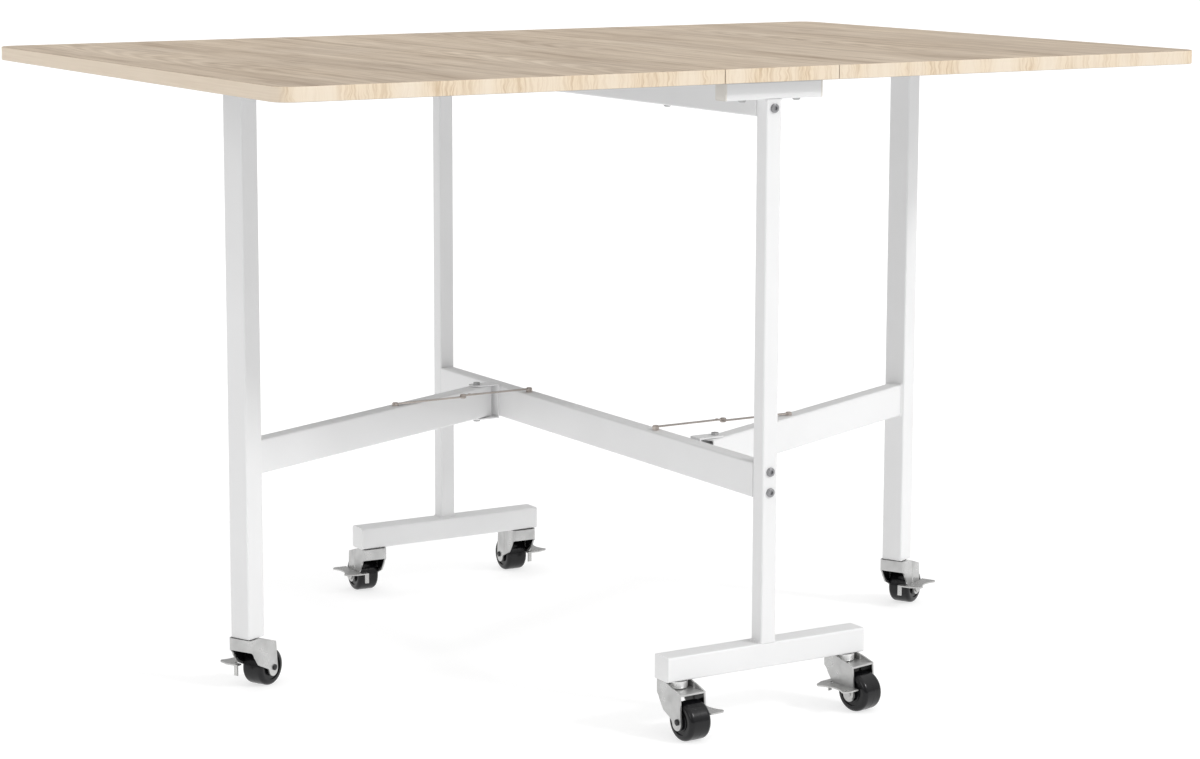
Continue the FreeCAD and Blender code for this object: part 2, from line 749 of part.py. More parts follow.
node("gate_brackets", group(*[gate_bracket(side) for side in (-1, 1)]))
node("gate_pivot_bolts", group(*[pivot_bolt(side) for side in (-1, 1)]))
node("gate_pivot_nuts", group(*[pivot_nut(side) for side in (-1, 1)]))


# Casters, drawn with the stem on Z and the wheel trailing along +X

plate_under = d.fork_plate_level - d.fork_sheet
cup_under = d.fork_plate_level + d.swivel_gap


def caster_stem():
    """Swivel cup with the kingpin below it and the threaded stem above it."""
    head_top = plate_under - d.swivel_gap
    head_under = head_top - d.kingpin_head_height
    tip = d.caster_height + d.stem_length
    return revolved([
        (0, head_under), (d.kingpin_head, head_under), (d.kingpin_head, head_top),
        (d.kingpin, head_top), (d.kingpin, cup_under),
        (d.cup_round - d.cup_bend, cup_under, d.cup_bend, 1), (d.cup_round, cup_under + d.cup_bend),
        (d.cup_round, d.caster_height), (d.stem, d.caster_height), (d.stem, tip), (0, tip),
    ])


def stem_nut():
    low = d.caster_height + d.tube_wall
    blank = hexagon(d.stem_nut, d.stem_nut_height, 0, 0, low)
    return cut(blank, rod(d.stem + d.hole_play, d.stem_nut_height, 0, 0, low))


def fork_plan(inset, rear):
    """Plan of the fork drawn in by inset: open to the rear, each cheek stepped out behind the stem."""
    front = -d.fork_front + inset
    wide = d.fork_half - inset
    slim = wide - d.fork_step
    bend = d.fork_corner - inset
    step = d.fork_step_x
    step_end = step + d.fork_step_run
    return [
        (front + bend, -slim), (step, -slim), (step_end, -wide), (rear, -wide), (rear, wide),
        (step_end, wide), (step, slim), (front + bend, slim, bend, 1),
        (front, slim - bend), (front, -slim + bend, bend, 1),
    ]


def fork_side():
    """Side view of the fork: sloping top and rear edge, axle lobe and swept lower edge."""
    top = d.caster_height - d.fork_gap
    middle = d.trail - d.lobe_back
    rear = middle + d.lobe_round
    low = d.wheel_radius - d.lobe_drop
    meet_x = middle + d.lobe_round * cosine(d.lobe_angle)
    meet_z = low + d.lobe_round * sine(d.lobe_angle)
    return [
        (rear, low), (rear - d.fork_rear_cut, d.fork_plate_level), (d.fork_shoulder, top),
        (-d.fork_front, top), (-d.fork_front, d.fork_skirt, d.fork_brow_bend, -1),
        (d.fork_brow_x, d.fork_brow_z), (d.fork_waist_x, d.fork_waist_z, d.fork_shelf_bend, 1),
        (d.fork_shelf_x, d.fork_shelf_z),
        (d.fork_heel_x, d.fork_heel_z, d.fork_heel_bend, -1), (meet_x, meet_z, d.lobe_round, 1),
    ]


def fork():
    """Pressed fork: front wall, two cheeks and the top plate that the kingpin goes through."""
    rear = d.trail + d.lobe_round
    top = d.caster_height - d.fork_gap
    blank = padded("XY", [fork_plan(0, rear)], top)
    hollow = fork_plan(d.fork_sheet, rear + d.fork_sheet)
    below = padded("XY", [hollow], plate_under)
    above = place(padded("XY", [hollow], top - d.fork_plate_level), 0, 0, d.fork_plate_level)
    pressing = common(cut(blank, below, above), padded("XZ", [fork_side()], 2 * d.fork_half, "Symmetric"))
    swivel = rod(d.kingpin + d.run_play, d.fork_sheet, 0, 0, plate_under)
    axle = rod(d.axle_round + d.hole_play, 2 * d.fork_half, d.trail, -d.fork_half, d.wheel_radius, "y")
    return cut(pressing, swivel, axle)


def turn_over(thing, side):
    """Mirrors a piece of the caster across its middle plane for side -1."""
    if side > 0:
        return thing
    mirrored = doc.addObject("Part::Mirroring", "Mirrored")
    mirrored.Source = thing
    mirrored.Normal = FreeCAD.Vector(0, 1, 0)
    return mirrored


def axle_pin(side):
    """Axle through both cheeks, with a bevelled plain end and a head outside the brake's ear."""
    plain = d.fork_half + d.axle_proud
    seat = d.fork_half + d.brake_gap + d.brake_sheet + d.face_play
    tip = seat + d.axle_head_height
    pin = revolved([
        (0, -plain), (d.axle_round - d.axle_bevel, -plain), (d.axle_round, -plain + d.axle_bevel),
        (d.axle_round, seat), (d.axle_head, seat), (d.axle_head, tip - d.axle_bevel),
        (d.axle_head - d.axle_bevel, tip), (0, tip),
    ], "y")
    return turn_over(place(pin, d.trail, 0, d.wheel_radius), side)


def wheel():
    """Moulded wheel with hub, web, raised ring, rim and rounded tread, turning about Y."""
    tread = d.wheel_radius
    inner = tread - d.wheel_shoulder
    bore = d.axle_round + d.run_play
    steps = [
        (bore, d.hub_half), (d.hub_round, d.hub_half), (d.hub_round, d.web_half),
        (d.ring_inner, d.web_half), (d.ring_inner, d.ring_half), (d.ring_outer, d.ring_half),
        (d.ring_outer, d.web_half), (d.rim_inner, d.web_half), (d.rim_inner, d.wheel_half),
    ]
    shoulder = d.wheel_half - d.wheel_shoulder
    lower = [(radius, -half) for radius, half in steps]
    middle = [
        (inner, -d.wheel_half, d.wheel_shoulder, 1), (tread, -shoulder),
        (tread, shoulder, d.wheel_shoulder, 1), (inner, d.wheel_half),
    ]
    turned = revolved(lower + middle + steps[::-1], "y")
    return place(turned, d.trail, 0, d.wheel_radius)


def brake(side):
    """Side brake: a plate with two wings, an ear down to the axle and a tab before the wheel."""
    cheek = d.fork_half
    inner = cheek + d.brake_gap
    outer = cheek + d.wing_reach
    plate = [
        (d.brake_arm_front, d.brake_arm_end), (d.brake_arm_rear, d.brake_arm_end),
        (d.brake_arm_rear, inner), (d.brake_rear, inner),
        (d.brake_rear, outer - d.wing_rear_bend, d.wing_rear_bend, 1),
        (d.brake_rear - d.wing_rear_bend, outer, d.wing_waist, -1),
        (d.wing_front + d.wing_front_bend, outer, d.wing_front_bend, 1),
        (d.wing_front, outer - d.wing_front_bend), (d.brake_arm_front, cheek + d.wing_root),
    ]
    flat = place(padded("XY", [plate], d.brake_sheet), 0, 0, d.brake_level)
    x = d.trail
    z = d.wheel_radius
    half = d.brake_ear
    plate_top = d.brake_level + d.brake_sheet
    ear_outline = [
        (x - half, z, half, 1), (x, z - half, half, 1), (x + half, z),
        (x + half, plate_top), (x - half, plate_top),
    ]
    ear = place(padded("XZ", [ear_outline], d.brake_sheet), 0, inner + d.brake_sheet, 0)
    tab = box(d.brake_arm_front, d.brake_arm_end, d.brake_level - d.brake_tab_drop,
              d.brake_sheet, d.brake_tab_width, d.brake_tab_drop)
    pivot = rod(d.axle_round + d.run_play, d.brake_sheet, x, inner, z, "y")
    hole = rod(d.pedal_hole, d.brake_sheet, d.pedal_hole_x, cheek + d.pedal_hole_y, d.brake_level)
    return turn_over(cut(fuse(flat, ear, tab), pivot, hole), side)


gate_post_x = gate_x + d.gate_reach * cosine(gate_angle)
gate_post_y = d.pivot_place - d.gate_reach * sine(gate_angle)

# Each caster: name, stem place, trailing direction, side of its brake
CASTERS = [
    ("front_left", -stem_x, -foot_y, -87, 1),
    ("front_right", stem_x, -foot_y, -79, -1),
    ("rear_left", -stem_x, foot_y, 87, 1),
    ("rear_right", stem_x, foot_y, 87, -1),
    ("left_gate", -gate_post_x, gate_post_y, gate_angle + 3, 1),
    ("right_gate", gate_post_x, -gate_post_y, gate_angle + 3, -1),
]

for name, x, y, direction, side in CASTERS:
    node(name + "_caster_fork", place(group(fork(), axle_pin(side)), x, y, 0, direction))
    node(name + "_caster_wheel", place(group(wheel()), x, y, 0, direction))
    node(name + "_caster_brake", place(group(brake(side)), x, y, 0, direction))

foot_stems = [
    place(group(caster_stem(), stem_nut()), side * stem_x, end * foot_y)
    for end in (-1, 1) for side in (-1, 1)
]
node("foot_caster_stems", group(*foot_stems))


# Gates, drawn with the pivot on Z and the rail along +X

pad_top = top_under - d.pad_gap
post_top = pad_top - d.pad_height
post_inside = d.foot_side - 2 * d.tube_wall - 2 * d.plug_play


def stay_pin(link_under, x=0, y=0):
    """Stay pin in a rail's upper wall, with a collar under the link and a head over it."""
    collar_top = link_under - d.face_play
    head_under = link_under + d.stay_sheet + d.face_play
    head_top = head_under + d.stay_rivet
    pin = revolved([
        (0, stretcher_top - d.tube_wall), (d.stay_pin, stretcher_top - d.tube_wall),
        (d.stay_pin, stretcher_top), (d.stay_eye, stretcher_top), (d.stay_eye, collar_top),
        (d.stay_pin, collar_top), (d.stay_pin, head_under), (d.stay_pin_head, head_under),
        (d.stay_pin_head, head_top), (0, head_top),
    ])
    return place(pin, x, y)


def gate_rail():
    length = d.gate_reach - d.foot_side / 2 + d.gate_overhang
    rail = place(tube("x", d.rail_width, d.rail_height, length), length / 2 - d.gate_overhang, 0,
                 stretcher_middle)
    pivot = rod(d.pivot_shank + d.run_play, d.rail_height, 0, 0, d.stretcher_level)
    pin = rod(d.stay_pin + d.hole_play, d.tube_wall, d.stay_reach, 0, stretcher_top - d.tube_wall)
    return cut(rail, pivot, pin)


def gate_post():
    length = post_top - d.caster_height
    post = tube("z", d.foot_side, d.foot_side, length)
    return place(post, d.gate_reach, 0, d.caster_height + length / 2)


def gate_end_plugs():
    """Glide pad on the post's upper end and threaded socket in its lower end."""
    cap = place(padded("XY", [rounded(d.foot_side, d.foot_side, d.tube_corner)], d.pad_height),
                d.gate_reach, 0, post_top)
    inside = rounded(post_inside, post_inside, d.tube_bend)
    stub = place(padded("XY", [inside], d.plug_depth), d.gate_reach, 0, post_top - d.plug_depth)
    block = place(padded("XY", [inside], d.socket_depth), d.gate_reach, 0, d.caster_height)
    thread = rod(d.stem + d.hole_play, d.socket_depth, d.gate_reach, 0, d.caster_height)
    return group(fuse(cap, stub), cut(block, thread))


for name, side in SIDES:
    turn = gate_angle + half_turn(side)
    pieces = [
        ("_gate_rail", group(gate_rail())),
        ("_gate_post", group(gate_post())),
        ("_gate_end_plugs", gate_end_plugs()),
        ("_gate_caster_stem", group(place(caster_stem(), d.gate_reach))),
        ("_stay_rail_pin", group(stay_pin(lower_link, d.stay_reach))),
    ]
    for suffix, piece in pieces:
        node(name + suffix, place(piece, side * gate_x, -side * d.pivot_place, 0, turn))


# Folding stays, straight while the gates are open

link_length = stay_x / 2


def stay_link(level, direction):
    """Flat bar between two round eyes, from its pin at the origin along X."""
    eye_round = d.stay_eye
    half = 0.6 * eye_round
    neck = 0.8 * eye_round
    low = 0 if direction > 0 else -link_length
    high = low + link_length
    outline = [
        (low + neck, -half), (high - neck, -half, eye_round, 1), (high + eye_round, 0, eye_round, 1),
        (high - neck, half), (low + neck, half, eye_round, 1), (low - eye_round, 0, eye_round, 1),
    ]
    flat = place(padded("XY", [outline], d.stay_sheet), 0, 0, level)
    eye = rod(d.stay_pin + d.run_play, d.stay_sheet, 0, 0, level)
    return cut(flat, eye)


def inner_link():
    """Upper link on the stretcher, with the upper rivet head and the stop nib."""
    top = upper_link + d.stay_sheet
    rivet = rod(d.stay_pin_head, d.stay_rivet, link_length, 0, top)
    nib = rod(d.stay_nib, d.stay_rivet, link_length - d.stay_nib_place, 0, top)
    return fuse(stay_link(upper_link, 1), rivet, nib)


def outer_link():
    """Lower link on the gate rail, with the lower rivet head."""
    rivet = rod(d.stay_pin_head, d.stay_rivet, -link_length, 0, lower_link - d.stay_rivet)
    return fuse(stay_link(lower_link, -1), rivet)


for name, side in SIDES:
    turn = half_turn(side)
    node(name + "_stay_inner_link", place(group(inner_link()), 0, -side * stay_y, 0, turn))
    node(name + "_stay_outer_link",
         place(group(outer_link()), side * stay_x, -side * stay_y, 0, turn))
node("stay_stretcher_pins", group(*[stay_pin(upper_link, 0, end * stay_y) for end in (-1, 1)]))


# Build, test and write the pieces

doc.recompute()
for thing in doc.Objects:
    if "Invalid" in thing.State or "Error" in thing.State:
        raise RuntimeError("{} failed: {}".format(thing.Label, thing.State))
os.makedirs("parts", exist_ok=True)
for piece in nodes:
    if piece.Shape.isNull() or not piece.Shape.isValid() or not piece.Shape.Solids:
        raise RuntimeError("{} has no sound solid".format(piece.Label))
for piece in nodes:
    piece.Shape.exportStep("parts/{}.step".format(piece.Label))
print(len(nodes), "pieces,", sum(len(piece.Shape.Solids) for piece in nodes), "solids")
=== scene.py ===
# %% [markdown]
# A folding table, dressed piece by piece.
# The table's construction arrives finished, as a frame of named nodes in metres that never changes here.
# This lesson gives every node its finish and adds the thin pieces that only the eye needs: the edging
# round the boards, the painted welds, the faces of the plugs, and on each caster a black sheet of painted
# shade inside the fork, an axle dome, a dark ring of painted shade in the gap under the tube and the
# wheel's mould line.

# %% Load the frame
import json
import math
import bmesh
import bpy
import numpy as np
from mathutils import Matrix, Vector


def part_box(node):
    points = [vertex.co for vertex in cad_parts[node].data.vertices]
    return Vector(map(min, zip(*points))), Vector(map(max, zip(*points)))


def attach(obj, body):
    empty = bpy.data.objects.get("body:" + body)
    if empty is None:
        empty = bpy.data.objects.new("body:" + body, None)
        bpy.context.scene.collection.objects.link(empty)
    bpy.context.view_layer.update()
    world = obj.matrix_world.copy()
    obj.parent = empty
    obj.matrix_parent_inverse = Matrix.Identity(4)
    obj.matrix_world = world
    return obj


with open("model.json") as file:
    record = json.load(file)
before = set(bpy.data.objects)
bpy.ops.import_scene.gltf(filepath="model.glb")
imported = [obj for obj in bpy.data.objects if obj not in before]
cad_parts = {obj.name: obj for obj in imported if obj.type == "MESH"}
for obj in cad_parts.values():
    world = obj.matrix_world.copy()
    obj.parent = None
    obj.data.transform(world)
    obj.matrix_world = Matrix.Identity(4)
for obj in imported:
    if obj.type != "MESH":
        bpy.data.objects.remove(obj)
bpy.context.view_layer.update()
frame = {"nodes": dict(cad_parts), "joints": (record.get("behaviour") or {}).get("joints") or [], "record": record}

nodes = frame["nodes"]
slot_of = {item["node"]: item["material_slot"] for item in frame["record"]["subparts"]}

# %% [markdown]
# The picture is taken from the front left, a little above the top, with a long lens.
# The camera could be aimed by eye, but its place, turn and lens were fitted to the corners and straight
# edges of the table in the photograph. A strongly shifted lens would keep the legs exactly upright, but
# it would push the table out of the picture in every other view, so the shift stays small and the camera
# tips down.

# %% Camera
CAMERA_PLACE = (-1.8226, -3.0029, 0.9415)
CAMERA_YAW = 30.36
CAMERA_PITCH = 8.433
CAMERA_LENS = 87.75
CAMERA_SHIFT = (0.0457, -0.06)
SENSOR_WIDTH = 36

camera_data = bpy.data.cameras.new("camera")
camera_data.lens = CAMERA_LENS
camera_data.sensor_width = SENSOR_WIDTH
camera_data.shift_x, camera_data.shift_y = CAMERA_SHIFT
camera = bpy.data.objects.new("camera", camera_data)
camera.location = CAMERA_PLACE
camera.rotation_euler = (math.radians(90 - CAMERA_PITCH), 0, math.radians(-CAMERA_YAW))
bpy.context.scene.collection.objects.link(camera)
bpy.context.scene.camera = camera
bpy.context.scene.view_settings.view_transform = "Standard"
print("camera:", CAMERA_LENS, "mm lens,", CAMERA_PITCH, "degrees down")

# %% [markdown]
# Every material here is a small tree of nodes. These helpers keep the trees short to read: one adds a
# node and fills its sockets, with a plain value or with a link, and one opens a new material with its
# shader. The rest are single steps that come up again and again.

# %% Helpers for node trees


def add(tree, kind, inputs=None, **settings):
    """Adds a node, sets its properties, and fills its inputs by name or number with values or links."""
    node = tree.nodes.new(kind)
    for name, value in settings.items():
        setattr(node, name, value)
    for key, value in (inputs or {}).items():
        socket = node.inputs[key]
        if isinstance(value, bpy.types.NodeSocket):
            tree.links.new(value, socket)
        else:
            socket.default_value = value
    return node


def math_node(tree, operation, first, second=0.0, third=0.0):
    """One arithmetic step on two or three values."""
    inputs = {0: first, 1: second, 2: third}
    return add(tree, "ShaderNodeMath", inputs, operation=operation).outputs[0]


def stretched(tree, vector, scale, offset=(0, 0, 0)):
    """The coordinates multiplied by scale and moved by offset."""
    inputs = {0: vector, 1: scale, 2: offset}
    return add(tree, "ShaderNodeVectorMath", inputs, operation="MULTIPLY_ADD").outputs[0]


def pushed(tree, vector, shift):
    """The coordinates moved along X by a value that changes from place to place."""
    push = add(tree, "ShaderNodeCombineXYZ", {"X": shift}).outputs[0]
    return add(tree, "ShaderNodeVectorMath", {0: vector, 1: push}, operation="ADD").outputs[0]


def noise(tree, vector, scale=1.0, detail=2.0, roughness=0.5):
    """Cloudy noise between 0 and 1."""
    inputs = {"Vector": vector, "Scale": scale, "Detail": detail, "Roughness": roughness}
    return add(tree, "ShaderNodeTexNoise", inputs).outputs["Fac"]


def span(tree, value, low, high, to_low=0.0, to_high=1.0):
    """Stretches the part low..high of a value to to_low..to_high, and holds it there."""
    inputs = {"Value": value, "From Min": low, "From Max": high, "To Min": to_low, "To Max": to_high}
    return add(tree, "ShaderNodeMapRange", inputs).outputs[0]


def mixed(tree, factor, first, second):
    """Colour first where factor is 0 and second where it is 1."""
    node = add(tree, "ShaderNodeMix", {0: factor}, data_type="RGBA")
    for socket, colour in ((node.inputs[6], first), (node.inputs[7], second)):
        if isinstance(colour, bpy.types.NodeSocket):
            tree.links.new(colour, socket)
        else:
            socket.default_value = (*colour, 1)
    return node.outputs[2]


def group(name, inputs, outputs):
    """A new shader group with named sockets: returns its tree, its input node and its output node."""
    tree = bpy.data.node_groups.new(name, "ShaderNodeTree")
    for label, kind in inputs:
        tree.interface.new_socket(label, in_out="INPUT", socket_type=kind)
    for label, kind in outputs:
        tree.interface.new_socket(label, in_out="OUTPUT", socket_type=kind)
    return tree, tree.nodes.new("NodeGroupInput"), tree.nodes.new("NodeGroupOutput")


def place_group(tree, made, inputs):
    """Puts a finished group into a material."""
    return add(tree, "ShaderNodeGroup", inputs, node_tree=made).outputs


def new_material(name, **constants):
    """A material with its shader, and the coordinates of the object it is on."""
    material = bpy.data.materials.new(name)
    material.use_nodes = True
    tree = material.node_tree
    shader = tree.nodes["Principled BSDF"]
    for label, value in constants.items():
        shader.inputs[label.replace("_", " ")].default_value = value
    coordinates = tree.nodes.new("ShaderNodeTexCoord")
    return material, tree, shader, coordinates


def set_look(tree, shader, colour, roughness):
    """Links a colour and a roughness to the shader."""
    tree.links.new(colour, shader.inputs["Base Color"])
    tree.links.new(roughness, shader.inputs["Roughness"])


def set_bump(tree, shader, height, distance, strength):
    """Lets a height tilt the surface's normal."""
    inputs = {"Height": height, "Distance": distance, "Strength": strength}
    bump = add(tree, "ShaderNodeBump", inputs)
    tree.links.new(bump.outputs[0], shader.inputs["Normal"])


FLOAT = "NodeSocketFloat"
VECTOR = "NodeSocketVector"
materials = {}
print("node helpers ready")

# %% [markdown]
# The boards are faced with a printed light oak. The print has broad pale and dark bands, finer lines,
# hair-thin fibres and short dark pores, all running front to back, with nested arches here and there.
# A photograph of oak would be the usual way. Here the print is worked out: the same noise is read several
# times with the cross direction squeezed, so that it draws out into lines along Y. One table lists these
# layers by stretch, offset, detail and roughness. Another gives each layer's share in the tone, with the
# part of its values that counts.

# %% Group: oak grain
SWAY_STRETCH = (2.2, 1.1, 0)
SWAY_SHIFT = 0.05
RIPPLE_STRETCH = (16, 5, 0)
RIPPLE_SHIFT = 0.008
GRAIN_LAYERS = {
    "bands": ((15, 0.7, 0), (0, 0, 0), 2.0, 0.5),
    "lines": ((72, 3.5, 0), (0, 0, 0), 4.0, 0.65),
    "fibres": ((430, 12, 0), (0, 0, 0), 2.0, 0.5),
    "streaks": ((38, 1.5, 0), (3, 8, 0), 3.0, 0.6),
    "flecks": ((125, 8, 0), (6, 2, 0), 2.0, 0.6),
    "dashes": ((760, 30, 0), (9, 4, 0), 1.0, 0.5),
}
TONE_START = 0.18
TONE_SHARES = (
    ("bands", 0.36, 0.64, 0.26),
    ("lines", 0.32, 0.68, 0.36),
    ("fibres", 0.30, 0.70, 0.20),
    ("streaks", 0.54, 0.68, -0.28),
    ("flecks", 0.54, 0.66, -0.24),
)
ARCHES = ((-0.145, -0.20), (-0.47, 0.12), (0.36, 0.05), (0.03, 0.25))
ARCH_HALF = 0.045
ARCH_RUN = 7.0
ARCH_RINGS = 14.0
ARCH_SIDE_FADE = (0.5, 1.7)
ARCH_END_FADE = (1.4, 2.6)
ARCH_SHARE = 0.11
PORE_CUT = (0.60, 0.70)
PORE_THINNING = (0.42, 0.62, 1.0, 0.25)
PORE_DEPTH = 0.7
GRAIN_OUTPUTS = ("Tone", "Pores", "Height")


def arch_figure(tree, place, middle, nose):
    """Nested arches: sine of (run along Y + square of the distance across), faded at sides and ends."""
    x, y = add(tree, "ShaderNodeSeparateXYZ", {0: place}).outputs[:2]
    across = math_node(tree, "DIVIDE", math_node(tree, "SUBTRACT", x, middle), ARCH_HALF)
    bow = math_node(tree, "POWER", math_node(tree, "ABSOLUTE", across), 2.0)
    run = math_node(tree, "MULTIPLY", math_node(tree, "SUBTRACT", y, nose), ARCH_RUN)
    phase = math_node(tree, "MULTIPLY", math_node(tree, "ADD", run, bow), ARCH_RINGS)
    inside = span(tree, bow, *ARCH_SIDE_FADE, 1.0, 0.0)
    near = span(tree, math_node(tree, "ABSOLUTE", run), *ARCH_END_FADE, 1.0, 0.0)
    faded = math_node(tree, "MULTIPLY", inside, near)
    return math_node(tree, "MULTIPLY", math_node(tree, "SINE", phase), faded)


def build_oak_grain(tree, vector):
    """Tone as the sum of the layers' shares and the arches, the dark pores, and the emboss's height."""
    sway = noise(tree, stretched(tree, vector, SWAY_STRETCH), detail=1.0)
    ripple = noise(tree, stretched(tree, vector, RIPPLE_STRETCH), detail=2.0)
    far_shift = math_node(tree, "MULTIPLY", sway, SWAY_SHIFT)
    near_shift = math_node(tree, "MULTIPLY", ripple, RIPPLE_SHIFT)
    bent = pushed(tree, vector, math_node(tree, "ADD", far_shift, near_shift))
    layer = {}
    for name, (scale, offset, detail, roughness) in GRAIN_LAYERS.items():
        place = stretched(tree, bent, scale, offset)
        layer[name] = noise(tree, place, detail=detail, roughness=roughness)
    tone = TONE_START
    for name, low, high, share in TONE_SHARES:
        tone = math_node(tree, "MULTIPLY_ADD", span(tree, layer[name], low, high), share, tone)
    for middle, nose in ARCHES:
        arch = arch_figure(tree, bent, middle, nose)
        tone = math_node(tree, "MULTIPLY_ADD", arch, ARCH_SHARE, tone)
    thinning = span(tree, layer["lines"], *PORE_THINNING)
    pores = math_node(tree, "MULTIPLY", span(tree, layer["dashes"], *PORE_CUT), thinning)
    height = math_node(tree, "MULTIPLY_ADD", pores, -PORE_DEPTH, layer["fibres"])
    return tone, pores, height


oak_grain, enter, leave = group(
    "oak grain", [("Vector", VECTOR)], [(label, FLOAT) for label in GRAIN_OUTPUTS])
for label, value in zip(GRAIN_OUTPUTS, build_oak_grain(oak_grain, enter.outputs["Vector"])):
    oak_grain.links.new(value, leave.inputs[label])
print("oak grain:", len(oak_grain.nodes), "nodes")

# %% [markdown]
# Nothing made by hand or machine is quite even. A soft cloud of handling marks, in two sizes, changes the
# gloss a little from place to place, and sometimes the tone. Every finish uses it with its own scale.

# %% Group: handling
SPECK_TIMES = 28.0
handling, enter, leave = group(
    "handling", [("Vector", VECTOR), ("Scale", FLOAT)], [("Cloud", FLOAT), ("Speck", FLOAT)])
cloud_value = noise(handling, enter.outputs["Vector"], enter.outputs["Scale"], 3.0)
speck_scale = math_node(handling, "MULTIPLY", enter.outputs["Scale"], SPECK_TIMES)
speck_value = noise(handling, enter.outputs["Vector"], speck_scale, 1.0)
handling.links.new(cloud_value, leave.inputs["Cloud"])
handling.links.new(speck_value, leave.inputs["Speck"])
print("handling:", len(handling.nodes), "nodes")

# %% [markdown]
# The board's face is a satin print under a thin clear film: the grain sets its colour, and the pores are
# pressed in very slightly, so that they catch the light when one looks along the top. The underside has
# only a plain grey backing paper, flecked with fibres, which keeps the light under the top neutral. The
# way the surface faces tells the two apart, so one material serves the whole board.

# %% Material: oak board
OAK_DARK = (0.288, 0.202, 0.127)
OAK_PALE = (0.708, 0.594, 0.463)
PORE_DARK = (0.27, 0.18, 0.11)
PORE_STRENGTH = 0.35
BACKING_PALE = (0.36, 0.355, 0.35)
BACKING_FLECK = (0.29, 0.285, 0.28)
FACING_DOWN = (-0.5, -0.7)
OAK_EMBOSS = 0.00008


def oak_board():
    """Printed oak facing with pressed pores, and grey paper where the surface faces down."""
    material, tree, shader, coordinates = new_material("oak_board", Specular_IOR_Level=0.35)
    grain = place_group(tree, oak_grain, {"Vector": coordinates.outputs["Object"]})
    marks = place_group(tree, handling, {"Vector": coordinates.outputs["Object"], "Scale": 6.0})
    base = mixed(tree, grain["Tone"], OAK_DARK, OAK_PALE)
    pores = math_node(tree, "MULTIPLY", grain["Pores"], PORE_STRENGTH)
    face = mixed(tree, pores, base, PORE_DARK)
    facing = add(tree, "ShaderNodeSeparateXYZ", {0: coordinates.outputs["Normal"]}).outputs[2]
    paper = mixed(tree, span(tree, marks["Speck"], 0.35, 0.7), BACKING_PALE, BACKING_FLECK)
    colour = mixed(tree, span(tree, facing, *FACING_DOWN), face, paper)
    set_look(tree, shader, colour, span(tree, marks["Cloud"], 0.3, 0.7, 0.42, 0.54))
    set_bump(tree, shader, grain["Height"], OAK_EMBOSS, 0.6)
    return material


materials["oak_board"] = oak_board()
print("board finish:", len(materials["oak_board"].node_tree.nodes), "nodes")

# %% [markdown]
# The edging is a strip of the same print in a paler run. Across the front and rear edges its streaks
# stand upright, like end grain, and along the two long sides they run with the edge.
# One texture can't do both, so the strip's own normal says which way the edge faces and picks the
# streaks.

# %% Material: edging
END_PALE = (0.800, 0.700, 0.570)
END_WARM = (0.760, 0.630, 0.470)
END_STREAK = (0.500, 0.345, 0.195)
SIDE_PALE = (0.760, 0.650, 0.520)
SIDE_STREAK = (0.640, 0.520, 0.400)
STREAK_STRENGTH = 0.68
STREAK_LEAN = 0.010
LEAN_STRETCH = (75, 75, 75)
UPRIGHT_STRETCH = (430, 0, 24)
CLUSTER_STRETCH = (21, 0, 3)
LINE_STRETCH = (0, 9, 420)
BAND_STRETCH = (0, 5, 60)
EDGING_EMBOSS = 0.00006


def edging():
    """Pale oak strip: upright streaks where it faces front or rear, long ones where it faces sideways."""
    material, tree, shader, coordinates = new_material("edging", Specular_IOR_Level=0.35)
    place = coordinates.outputs["Object"]
    facing = add(tree, "ShaderNodeSeparateXYZ", {0: coordinates.outputs["Normal"]}).outputs[0]
    sideways = span(tree, math_node(tree, "ABSOLUTE", facing), 0.55, 0.85)
    lean = noise(tree, stretched(tree, place, LEAN_STRETCH), detail=1.0)
    bent = pushed(tree, place, math_node(tree, "MULTIPLY", lean, STREAK_LEAN))
    upright = noise(tree, stretched(tree, bent, UPRIGHT_STRETCH), detail=3.0, roughness=0.6)
    clusters = noise(tree, stretched(tree, place, CLUSTER_STRETCH), detail=2.0)
    long_lines = noise(tree, stretched(tree, place, LINE_STRETCH), detail=3.0)
    long_bands = noise(tree, stretched(tree, place, BAND_STRETCH), detail=2.0)
    gathered = span(tree, clusters, 0.42, 0.62, 0.15, 1.0)
    end_streaks = math_node(tree, "MULTIPLY", span(tree, upright, 0.45, 0.64), gathered)
    banded = span(tree, long_bands, 0.3, 0.7, 0.2, 0.7)
    side_streaks = math_node(tree, "MULTIPLY", span(tree, long_lines, 0.42, 0.72), banded)
    end_ground = mixed(tree, span(tree, clusters, 0.35, 0.65), END_PALE, END_WARM)
    end_shown = math_node(tree, "MULTIPLY", end_streaks, STREAK_STRENGTH)
    end_colour = mixed(tree, end_shown, end_ground, END_STREAK)
    side_colour = mixed(tree, side_streaks, SIDE_PALE, SIDE_STREAK)
    colour = mixed(tree, sideways, end_colour, side_colour)
    set_look(tree, shader, colour, span(tree, clusters, 0.3, 0.7, 0.44, 0.55))
    set_bump(tree, shader, upright, EDGING_EMBOSS, 0.5)
    return material


materials["edging"] = edging()
print("oak materials:", sorted(materials))

# %% [markdown]
# The frame is welded from square tube and powder coated. Powder melts into a film with a faint orange
# peel: a bump about two millimetres across and some hundredths of a millimetre high, with the gloss
# almost even. The plugs are moulded with a finer texture. The table gives colour, roughness, and the
# scale and height of the peel.

# %% Materials: white coat and plugs
COATS = {
    "white_coat": ((0.822, 0.823, 0.825), 0.36, 620, 0.00006),
    "white_plug": ((0.84, 0.84, 0.84), 0.46, 1400, 0.00004),
    "pale_plastic": ((0.74, 0.71, 0.66), 0.50, 1400, 0.00004),
}
COAT_DULLED = 0.965
COAT_CLOUD_SCALE = 9.0


